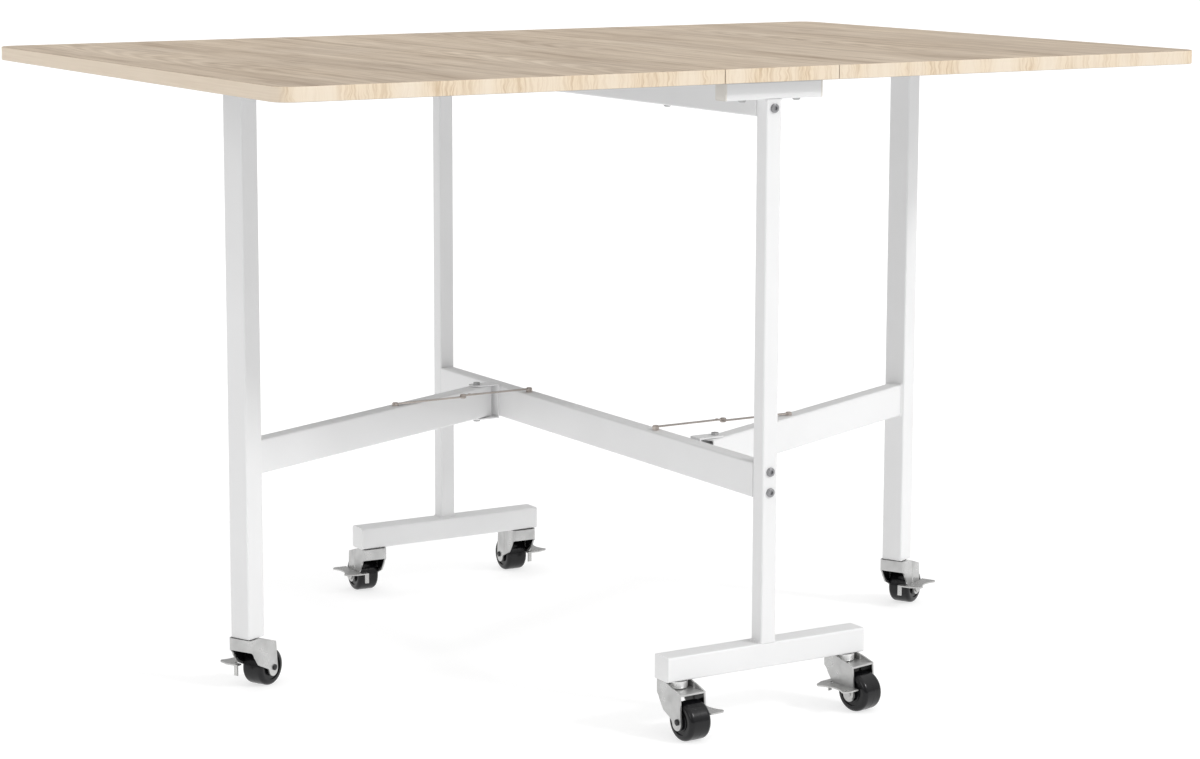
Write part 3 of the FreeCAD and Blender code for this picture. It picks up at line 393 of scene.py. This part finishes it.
def coated(name, colour, roughness, peel_scale, peel_height):
    """White coat or plastic: a near-even colour, a soft cloud in the gloss and a fine peel."""
    material, tree, shader, coordinates = new_material(name, Specular_IOR_Level=0.5)
    place = coordinates.outputs["Object"]
    cloud = place_group(tree, handling, {"Vector": place, "Scale": COAT_CLOUD_SCALE})["Cloud"]
    dull = tuple(channel * COAT_DULLED for channel in colour)
    shade = mixed(tree, span(tree, cloud, 0.35, 0.75), colour, dull)
    set_look(tree, shader, shade, span(tree, cloud, 0.3, 0.7, roughness - 0.04, roughness + 0.05))
    set_bump(tree, shader, noise(tree, place, peel_scale, 2.0), peel_height, 0.5)
    return material


for name, values in COATS.items():
    materials[name] = coated(name, *values)
print("coats:", list(COATS))

# %% [markdown]
# The bright parts are pressed steel with a zinc or nickel plate. Rolled sheet keeps fine parallel lines
# from the mill, and plating adds a soft cloud. One function makes all of them, because only colour,
# roughness, and the direction and height of the lines differ. The table lists these in that order.

# %% Materials: plated steel
FLAT_LINES = (300, 300, 2600)
ROUND_LINES = (900, 900, 900)
METALS = {
    "zinc_fork": ((0.57, 0.57, 0.565), 0.30, FLAT_LINES, 0.00002),
    "zinc_brake": ((0.58, 0.578, 0.57), 0.28, ROUND_LINES, 0.00002),
    "polished_cup": ((0.90, 0.90, 0.895), 0.28, FLAT_LINES, 0.00001),
    "nickel_stay": ((0.56, 0.50, 0.46), 0.32, ROUND_LINES, 0.00002),
    "zinc_hinge": ((0.60, 0.60, 0.595), 0.34, FLAT_LINES, 0.00002),
    "steel_fastener": ((0.46, 0.46, 0.46), 0.34, ROUND_LINES, 0.00002),
    "dark_bolt": ((0.34, 0.34, 0.35), 0.36, ROUND_LINES, 0.00002),
    "cast_block": ((0.52, 0.52, 0.53), 0.5, ROUND_LINES, 0.00005),
    "black_steel": ((0.045, 0.045, 0.047), 0.34, ROUND_LINES, 0.00002),
}
METAL_DULLED = 0.82
METAL_CLOUD_SCALE = 55.0


def plated(name, colour, roughness, line_scale, line_height):
    """Plated steel: drawn lines as a bump, and a cloud that changes tone and gloss."""
    material, tree, shader, coordinates = new_material(name, Metallic=0.8)
    place = coordinates.outputs["Object"]
    cloud = place_group(tree, handling, {"Vector": place, "Scale": METAL_CLOUD_SCALE})["Cloud"]
    dull = tuple(channel * METAL_DULLED for channel in colour)
    shade = mixed(tree, span(tree, cloud, 0.35, 0.7), colour, dull)
    set_look(tree, shader, shade, span(tree, cloud, 0.3, 0.7, roughness - 0.05, roughness + 0.08))
    lines = noise(tree, stretched(tree, place, line_scale), detail=2.0)
    set_bump(tree, shader, lines, line_height, 0.5)
    return material


for name, values in METALS.items():
    materials[name] = plated(name, *values)
print("metals:", list(METALS))

# %% [markdown]
# The wheels are moulded in one shot from a black plastic. It is satin where the mould was polished and
# a little duller elsewhere, and dust from the floor greys it a little.

# %% Material: black wheel
WHEEL_BLACK = (0.005, 0.005, 0.006)
WHEEL_DUST = (0.026, 0.025, 0.024)
WHEEL_CLOUD_SCALE = 70.0
DUST_STRENGTH = 0.5


def black_wheel():
    """Black moulded plastic with fine flow marks and a little grey dust."""
    material, tree, shader, coordinates = new_material("black_wheel", Specular_IOR_Level=0.34)
    place = coordinates.outputs["Object"]
    marks = place_group(tree, handling, {"Vector": place, "Scale": WHEEL_CLOUD_SCALE})
    settled = span(tree, marks["Cloud"], 0.4, 0.7)
    dust = math_node(tree, "MULTIPLY", span(tree, marks["Speck"], 0.45, 0.8), settled)
    shown = math_node(tree, "MULTIPLY", dust, DUST_STRENGTH)
    colour = mixed(tree, shown, WHEEL_BLACK, WHEEL_DUST)
    set_look(tree, shader, colour, span(tree, marks["Cloud"], 0.3, 0.7, 0.17, 0.24))
    set_bump(tree, shader, marks["Speck"], 0.00002, 0.5)
    return material


materials["black_wheel"] = black_wheel()
print("finishes made:", len(materials))

# %% [markdown]
# Each node of the frame names the finish it is sold with. The finishes above carry the same names, so
# giving them out is one loop, and nothing about the node itself changes.

# %% Give every node its finish
for name, piece in nodes.items():
    piece.data.materials.clear()
    piece.data.materials.append(materials[slot_of[name]])
print("finished nodes:", len(nodes), "with", len(set(slot_of.values())), "finishes")

# %% [markdown]
# The thin pieces are all made the same way: an array of rows and columns of points, wrapped into a closed
# skin. A modelling tool could pull each by hand, but as arrays their sizes stay readable and follow the
# frame. Four helpers do it: one wraps the points, one makes the piece ride on its body, one carries a
# section along a path, and one turns a section round an axis. A fifth finds the middle of a node.

# %% Helpers for pieces
UP = np.array([0.0, 0.0, 1.0])
joint_place = {joint["name"]: np.array(joint["pos_m"]) for joint in frame["joints"]}


def closed_mesh(name, points, wrap_rows=False):
    """A tube of quads over an array of rows x columns x 3, closed round its columns, with capped ends."""
    rows, columns = points.shape[:2]
    index = np.arange(rows * columns).reshape(rows, columns)
    near = index if wrap_rows else index[:-1]
    far = np.roll(index, -1, axis=0) if wrap_rows else index[1:]
    quads = np.stack([near, np.roll(near, -1, axis=1), np.roll(far, -1, axis=1), far], axis=-1)
    faces = quads.reshape(-1, 4).tolist()
    if not wrap_rows:
        faces += [index[0].tolist(), index[-1][::-1].tolist()]
    mesh = bpy.data.meshes.new(name)
    mesh.from_pydata(points.reshape(-1, 3), [], faces)
    work = bmesh.new()
    work.from_mesh(mesh)
    bmesh.ops.recalc_face_normals(work, faces=work.faces)
    work.to_mesh(mesh)
    work.free()
    return mesh


def add_piece(name, points, finish, body, wrap_rows=False, smooth_angle=40):
    """Wraps the points, gives the skin its finish, and lets it ride on a body of the frame."""
    mesh = closed_mesh(name, points, wrap_rows)
    mesh.materials.append(materials[finish])
    mesh.shade_smooth()
    mesh.set_sharp_from_angle(angle=math.radians(smooth_angle))
    piece = bpy.data.objects.new(name, mesh)
    bpy.context.scene.collection.objects.link(piece)
    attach(piece, body)


def carried(path, first, second, section):
    """Each section point (a, b) along the path: path + a * first + b * second, row by row."""
    return path[:, None] + section[..., :1] * first[:, None] + section[..., 1:] * second[:, None]


def turned(centre, axis, across, section, steps=48):
    """Each section point (along, radius) turned: centre + along * axis + radius * (cos, sin)."""
    angle = np.linspace(0, 2 * np.pi, steps, endpoint=False)
    spoke = np.cos(angle)[:, None] * across + np.sin(angle)[:, None] * np.cross(axis, across)
    return centre + section[:, None, :1] * axis + section[:, None, 1:] * spoke[None]


def middle_of(name):
    """Middle of a node's box."""
    low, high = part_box(name)
    return (np.array(low) + np.array(high)) / 2


print("piece helpers ready,", len(joint_place), "joint places read")

# %% [markdown]
# The edging is a real strip, half a millimetre thick, ironed on round the outer edge of each board.
# It is a section carried along a path: the path runs along the edge of the board, round its corners and
# back to the seam, and the section is a thin plate with soft corners.

# %% Edging strips
EDGING_THICK = 0.0005
EDGING_SUNK = 0.0002
EDGING_INSET = 0.0004
EDGING_SOFT = 0.0002
CORNER_ROUND = 0.022


def edging_section(low, high):
    """A thin upright plate from the board's face outwards, with its two outer corners bevelled."""
    top = high - EDGING_INSET
    bottom = low + EDGING_INSET
    outer = EDGING_THICK
    return np.array([
        (-EDGING_SUNK, bottom), (outer - EDGING_SOFT, bottom), (outer, bottom + EDGING_SOFT),
        (outer, top - EDGING_SOFT), (outer - EDGING_SOFT, top), (-EDGING_SUNK, top),
    ])


def quarter(centre, start, steps=10):
    """Points and outward normals of a rounded corner in plan, from the angle start in degrees."""
    angle = np.radians(start + np.linspace(0, 90, steps))
    normal = np.stack([np.cos(angle), np.sin(angle), np.zeros(steps)], axis=1)
    return np.array([*centre, 0]) + CORNER_ROUND * normal, normal


def leaf_path(low, high, side):
    """Plan path along a leaf's outer edge from the front seam corner to the rear, with its normals."""
    inner = abs(low.x if side > 0 else high.x)
    outer = abs(high.x if side > 0 else low.x)
    turn_x = outer - CORNER_ROUND
    front_turn, front_normal = quarter((turn_x, low.y + CORNER_ROUND), -90)
    rear_turn, rear_normal = quarter((turn_x, high.y - CORNER_ROUND), 0)
    path = np.concatenate([[(inner, low.y, 0)], front_turn, rear_turn, [(inner, high.y, 0)]])
    normal = np.concatenate([[(0, -1, 0)], front_normal, rear_normal, [(0, 1, 0)]])
    mirror = np.array([side, 1, 1])
    return path * mirror, normal * mirror


def add_edging(name, path, normal, low, high, body):
    """One strip on a board's edge."""
    lift = np.repeat(UP[None], len(path), axis=0)
    points = carried(path, normal, lift, edging_section(low.z, high.z))
    add_piece(name, points, "edging", body)


for name, side in (("left_leaf", -1), ("right_leaf", 1)):
    low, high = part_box(name)
    path, normal = leaf_path(low, high, side)
    add_edging(name + "_edging", path, normal, low, high, name)

low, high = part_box("centre_top")
for name, y, facing in (("front", low.y, -1.0), ("rear", high.y, 1.0)):
    path = np.array([(low.x, y, 0), (high.x, y, 0)])
    normal = np.array([(0, facing, 0), (0, facing, 0)])
    add_edging("centre_edging_" + name, path, normal, low, high, "frame")
print("edging: 4 strips,", EDGING_THICK * 1000, "mm thick")

# %% [markdown]
# Where one tube stands on another they are welded, and the powder coat runs over the weld. A weld is a
# small fillet that swells and sinks with every drop of metal. Bump could fake it, but the edge against
# the light would stay straight, so each run is a section carried round the joint, with its size rippled
# along the way. On the outer side, where post and foot are flush, the weld is ground away and nothing is
# added.

# %% Weld runs
WELD_LEG = 0.0019
WELD_RIPPLE = 0.0021
WELD_SLOWER = 3.7
WELD_SWELL = 0.10
WELD_STEP = 0.0004
TUBE_CORNER = 0.0022
TUBE_CORNER_STEPS = 8
GATE_POST_HALF = 0.014
GATE_RAIL_HALF = 0.010
WELD_SECTION = np.array([
    (-0.15, -0.15), (1.0, -0.15), (0.86, 0.30), (0.62, 0.62), (0.30, 0.86), (-0.15, 1.0)])
UPRIGHT = np.eye(3)
HANGING = np.diag([1.0, 1.0, -1.0])


def tube_round(half_x, half_y, sides):
    """Plan run along the sides of a tube, counted in quarter turns from +X, with its outward normals."""
    places, normals = [], []
    for side in sides:
        angle = math.radians(90 * side)
        normal = np.array([math.cos(angle), math.sin(angle)])
        along = np.array([-normal[1], normal[0]])
        out, reach = (half_x, half_y) if side % 2 == 0 else (half_y, half_x)
        straight = np.arange(TUBE_CORNER - reach, reach - TUBE_CORNER, WELD_STEP)
        places.append(out * normal + straight[:, None] * along)
        normals.append(np.repeat(normal[None], len(straight), axis=0))
        if side != sides[-1] or len(sides) == 4:
            turn = angle + np.linspace(0, math.pi / 2, TUBE_CORNER_STEPS)
            spoke = np.stack([np.cos(turn), np.sin(turn)], axis=1)
            corner = (out - TUBE_CORNER) * normal + (reach - TUBE_CORNER) * along
            places.append(corner + TUBE_CORNER * spoke)
            normals.append(spoke)
    return np.concatenate(places), np.concatenate(normals)


def weld(name, centre, axes, halves, sides, body):
    """A rippled run round a tube along the third axis: section times leg * (1 + wave of length)."""
    flat, flat_normal = tube_round(*halves, sides)
    path = centre + flat @ axes[:2]
    outward = flat_normal @ axes[:2]
    along = np.repeat(axes[2:], len(path), axis=0)
    phase = 2 * np.pi * np.arange(len(path)) * WELD_STEP / WELD_RIPPLE
    wave = np.sin(phase) + 0.5 * np.sin(phase / WELD_SLOWER)
    leg = WELD_LEG * (1 + WELD_SWELL * wave)
    points = carried(path, outward, along, leg[:, None, None] * WELD_SECTION[None])
    ring = len(sides) == 4
    add_piece(name, points, "white_coat", body, wrap_rows=ring, smooth_angle=75)


welds = 0
for end, inner_sides in (("front", (0, 1, 2)), ("rear", (2, 3, 4))):
    low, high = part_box(end + "_post")
    half = (high.x - low.x) / 2
    place = middle_of(end + "_post")
    foot_spot = np.array([place[0], place[1], low.z])
    weld(end + "_foot_weld", foot_spot, UPRIGHT, (half, half), inner_sides, "frame")
    bearer_spot = np.array([place[0], place[1], high.z])
    for side, label in ((0, "right"), (2, "left")):
        name = "{}_bearer_weld_{}".format(end, label)
        weld(name, bearer_spot, HANGING, (half, half), (side,), "frame")
    welds += 3

for gate in ("left_gate", "right_gate"):
    low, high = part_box(gate + "_rail")
    post = middle_of(gate + "_post")
    arm = (post - joint_place[gate + "_swing"]) * (1, 1, 0)
    arm /= np.linalg.norm(arm)
    spot = np.array([post[0], post[1], (low.z + high.z) / 2]) - GATE_POST_HALF * arm
    axes = np.array([np.cross(UP, arm), UP, -arm])
    halves = (GATE_RAIL_HALF, (high.z - low.z) / 2)
    weld(gate + "_weld", spot, axes, halves, (0, 1, 2, 3), gate)
    welds += 1
print("welds:", welds, "runs, leg", WELD_LEG * 1000, "mm")

# %% [markdown]
# The open tube ends are closed by moulded plugs. A plug's face is never flat: it crowns a little towards
# its middle, and that soft crown is what tells plastic from cut steel. A bevelled block would do for a far
# view, but a crown catches light across the whole face, so it is a surface: the rise falls off to zero at
# each side.

# %% Plug crowns
PLUG_RISE = 0.0007
PLUG_BORDER = 0.0012
CROWN_STEPS = 17
CROWN_INNERMOST = 0.04
CROWN_POINTS = 64
CROWN_SQUARE = 7
PLUGS = (
    ("foot_end_plugs", "foot", "white_plug"),
    ("bearer_end_plugs", "bearer", "pale_plastic"),
)


def crown_points(centre, out, half_y, half_z):
    """Rings from the border inwards on a rounded square; at ring scale s the rise is (1 - s ** 4)."""
    scale = np.linspace(1.0, CROWN_INNERMOST, CROWN_STEPS)[:, None]
    angle = np.linspace(0, 2 * np.pi, CROWN_POINTS, endpoint=False)[None]
    cosine, sine = np.cos(angle), np.sin(angle)
    size = (np.abs(cosine) ** CROWN_SQUARE + np.abs(sine) ** CROWN_SQUARE) ** (-1 / CROWN_SQUARE)
    y = half_y * scale * size * cosine
    z = half_z * scale * size * sine
    x = out * PLUG_RISE * (1 - scale ** 4) + 0 * angle
    return centre + np.stack([x, y, z], axis=-1)


crowns = 0
for plugs, tube, finish in PLUGS:
    plug_low, plug_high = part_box(plugs)
    for end in ("front", "rear"):
        name = "{}_{}".format(end, tube)
        low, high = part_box(name)
        place = middle_of(name)
        half_y = (high.y - low.y) / 2 - PLUG_BORDER
        half_z = (high.z - low.z) / 2 - PLUG_BORDER
        for label, x, out in (("left", plug_low.x, -1), ("right", plug_high.x, 1)):
            points = crown_points(np.array([x, place[1], place[2]]), out, half_y, half_z)
            add_piece(name + "_crown_" + label, points, finish, "frame", smooth_angle=60)
            crowns += 1
print("plug crowns:", crowns, "with a rise of", PLUG_RISE * 1000, "mm")

# %% [markdown]
# The casters get their small parts: a black sheet inside each pressed fork, which is painted shade for the
# shadowed inside of the fork, a blackened dome over the free end of the axle, a dark ring of painted shade
# in the gap where the cup meets the tube, and the thin line that the mould leaves round a wheel. All six
# casters are alike, so the parts are worked out once in the caster's own directions (back along the trail,
# across to the side without the brake, up) and set in place by one product with those directions.

# %% Caster places
CASTERS = ("front_left", "front_right", "rear_left", "rear_right", "left_gate", "right_gate")


def caster_axes(name):
    """The stem's place on the floor, and unit vectors along the trail, to the free side, and up."""
    stem = joint_place[name + "_swivel"] * (1, 1, 0)
    axle = joint_place[name + "_roll"]
    trail = axle * (1, 1, 0) - stem
    trail /= np.linalg.norm(trail)
    side = np.cross(UP, trail)
    braked = np.sign((joint_place[name + "_brake_press"] - axle) @ side)
    return stem, np.array([trail, -braked * side, UP])


caster_at = {name: caster_axes(name) for name in CASTERS}
first_trail = (joint_place["front_left_roll"] - joint_place["front_left_swivel"])[:2]
print("casters:", len(caster_at), "with a trail of", round(float(np.linalg.norm(first_trail)), 4), "m")

# %% [markdown]
# The black sheet of painted shade follows the fork from inside: its section is an upside-down U whose legs
# end just above the cheek's swept lower edge, and it widens where the cheeks step out.

# %% Fork shade sheets (painted shade)
SHADE_SHEET_THICK = 0.0001
SHADE_SHEET_TOP = 0.05092
SHADE_SHEET_FRONT = -0.0136
SHADE_SHEET_REAR = 0.0302
SHADE_SHEET_STEP = (0.0125, 0.0137)
SHADE_SHEET_HALF = (0.01484, 0.01554)
SHADE_SHEET_EDGE_X = (-0.0136, -0.0080, -0.0022, 0.0040, 0.0155, 0.0200, 0.0302)
SHADE_SHEET_EDGE_Z = (0.0500, 0.0440, 0.0355, 0.0305, 0.0265, 0.0260, 0.0260)


def shade_sheet_points(steps=40):
    """At each place x along the trail, a U's loop: out at half(x), down to edge(x), back inside it."""
    x = np.linspace(SHADE_SHEET_FRONT, SHADE_SHEET_REAR, steps)
    half = np.interp(x, SHADE_SHEET_STEP, SHADE_SHEET_HALF)
    edge = np.interp(x, SHADE_SHEET_EDGE_X, SHADE_SHEET_EDGE_Z)
    top = np.full(steps, SHADE_SHEET_TOP)
    inner = half - SHADE_SHEET_THICK
    under = top - SHADE_SHEET_THICK
    loop = [(-half, edge), (-half, top), (half, top), (half, edge),
            (inner, edge), (inner, under), (-inner, under), (-inner, edge)]
    return np.stack([np.stack([x, y, z], axis=1) for y, z in loop], axis=1)


# Each black sheet is painted shade: it stands for the shadow inside the fork, which has no real lining.
shade_sheet = shade_sheet_points()
for name, (stem, axes) in caster_at.items():
    points = stem + shade_sheet @ axes
    add_piece(name + "_fork_shade_sheet", points, "black_wheel", name + "_caster_fork")
print("fork shade_sheets:", len(caster_at))

# %% [markdown]
# The dome, the dark ring of painted shade in the gap under the tube, and the mould line are round, so each
# is a small section turned about the axle or the stem. A section lists places along the axis, each with its
# radius.

# %% Axle domes, gap rings of painted shade and mould lines
DOME_SECTION = np.array([
    (0.01762, 0.0036), (0.01880, 0.0036), (0.01925, 0.0032),
    (0.01955, 0.0024), (0.01968, 0.0012), (0.0197, 0.0002)])
GAP_SHADE_SECTION = np.array([(0.0623, 0.0120), (0.0623, 0.01345), (0.0629, 0.01345), (0.0629, 0.0120)])
MOULD_SECTION = np.array([(-0.0004, 0.0218), (0.0, 0.02212), (0.0004, 0.0218)])

for name, (stem, axes) in caster_at.items():
    trail, side, up = axes
    axle = joint_place[name + "_roll"]
    carrier = name if name.endswith("gate") else "frame"
    dome = turned(axle, side, trail, DOME_SECTION)
    add_piece(name + "_axle_dome", dome, "black_steel", name + "_caster_fork")
    # A black ring of painted shade fills the thin gap between the fork's top and the tube, which is dark only from
    # shadow.
    gap_shade = turned(stem, up, trail, GAP_SHADE_SECTION, steps=64)
    add_piece(name + "_stem_gap_shade", gap_shade, "black_wheel", carrier, wrap_rows=True)
    line = turned(axle, side, trail, MOULD_SECTION, steps=96)
    wheel = name + "_caster_wheel"
    add_piece(name + "_mould_line", line, "black_wheel", wheel, wrap_rows=True)
print("turned parts:", 3 * len(caster_at))

# %% [markdown]
# The stage is a pale floor that reaches past the view and glows a little, like a light table, so that
# shadows stay faint.

# %% Floor
FLOOR_HALF = 60.0
FLOOR_GLOW = 0.68
FLOOR_DARK = (0.42, 0.42, 0.42)
FLOOR_PALE = (0.43, 0.43, 0.43)
floor_points = np.array([(-1, -1, 0), (1, -1, 0), (1, 1, 0), (-1, 1, 0)]) * FLOOR_HALF
floor_mesh = bpy.data.meshes.new("floor")
floor_mesh.from_pydata(floor_points, [], [(0, 1, 2, 3)])
floor_material, tree, shader, coordinates = new_material(
    "floor", Roughness=0.9, Specular_IOR_Level=0.0,
    Emission_Color=(1, 1, 1, 1), Emission_Strength=FLOOR_GLOW)
tone = noise(tree, coordinates.outputs["Object"], 3.0)
tree.links.new(mixed(tree, tone, FLOOR_DARK, FLOOR_PALE), shader.inputs["Base Color"])
floor_mesh.materials.append(floor_material)
floor = bpy.data.objects.new("floor", floor_mesh)
bpy.context.scene.collection.objects.link(floor)
print("floor:", FLOOR_HALF * 2, "m wide")

# %% [markdown]
# The sky is brightest overhead, with a broad bright screen low on the right in front. A softened key lamp
# makes the front faces the whitest, and a weak lamp on the left lifts the sides, so that each face of the
# square tubes has its own grey.
# The sky's strength is a sum: a slope from the horizon to the zenith, a wide lobe round the screen and a
# narrow one round the key lamp, like a softbox before it, which draws the bright band on the wheels. A
# lobe is the cosine of the angle to its direction, raised to a power.

# %% Sky and lamps
SKY_HORIZON = 0.20
SKY_ZENITH = 1.16
SCREEN_DIRECTION = (0.74, -0.64, 0.20)
SCREEN_STRENGTH = 0.30
SCREEN_POWER = 4.0
BOX_DIRECTION = (0.429, -0.661, 0.616)
BOX_STRENGTH = 8.0
BOX_POWER = 150.0


def lobe(tree, direction, toward, power):
    """Cosine of the angle to a direction, held at zero behind it and raised to a power."""
    step = add(tree, "ShaderNodeVectorMath", {0: direction, 1: toward}, operation="DOT_PRODUCT")
    return math_node(tree, "POWER", math_node(tree, "MAXIMUM", step.outputs["Value"], 0.0), power)


def sun(name, azimuth, elevation, strength, softness):
    """Parallel light from a direction, 0 in front and 90 right, as soft as its width in degrees."""
    data = bpy.data.lights.new(name, "SUN")
    data.energy = strength
    data.angle = math.radians(softness)
    lamp = bpy.data.objects.new(name, data)
    lamp.rotation_euler = (math.radians(90 - elevation), 0, math.radians(azimuth))
    bpy.context.scene.collection.objects.link(lamp)


world = bpy.data.worlds.new("studio")
bpy.context.scene.world = world
world.use_nodes = True
tree = world.node_tree
direction = tree.nodes.new("ShaderNodeTexCoord").outputs["Generated"]
height = add(tree, "ShaderNodeSeparateXYZ", {0: direction}).outputs[2]
slope = span(tree, height, 0, 1, SKY_HORIZON, SKY_ZENITH)
screen = lobe(tree, direction, SCREEN_DIRECTION, SCREEN_POWER)
softbox = lobe(tree, direction, BOX_DIRECTION, BOX_POWER)
strength = math_node(tree, "MULTIPLY_ADD", screen, SCREEN_STRENGTH, slope)
strength = math_node(tree, "MULTIPLY_ADD", softbox, BOX_STRENGTH, strength)
background = tree.nodes["Background"]
background.inputs["Color"].default_value = (1, 1, 1, 1)
tree.links.new(strength, background.inputs["Strength"])

sun("key", azimuth=33, elevation=38, strength=0.69, softness=8)
sun("left_fill", azimuth=-72, elevation=22, strength=0.24, softness=25)
print("light: a soft sky, a screen, a softbox and two lamps")
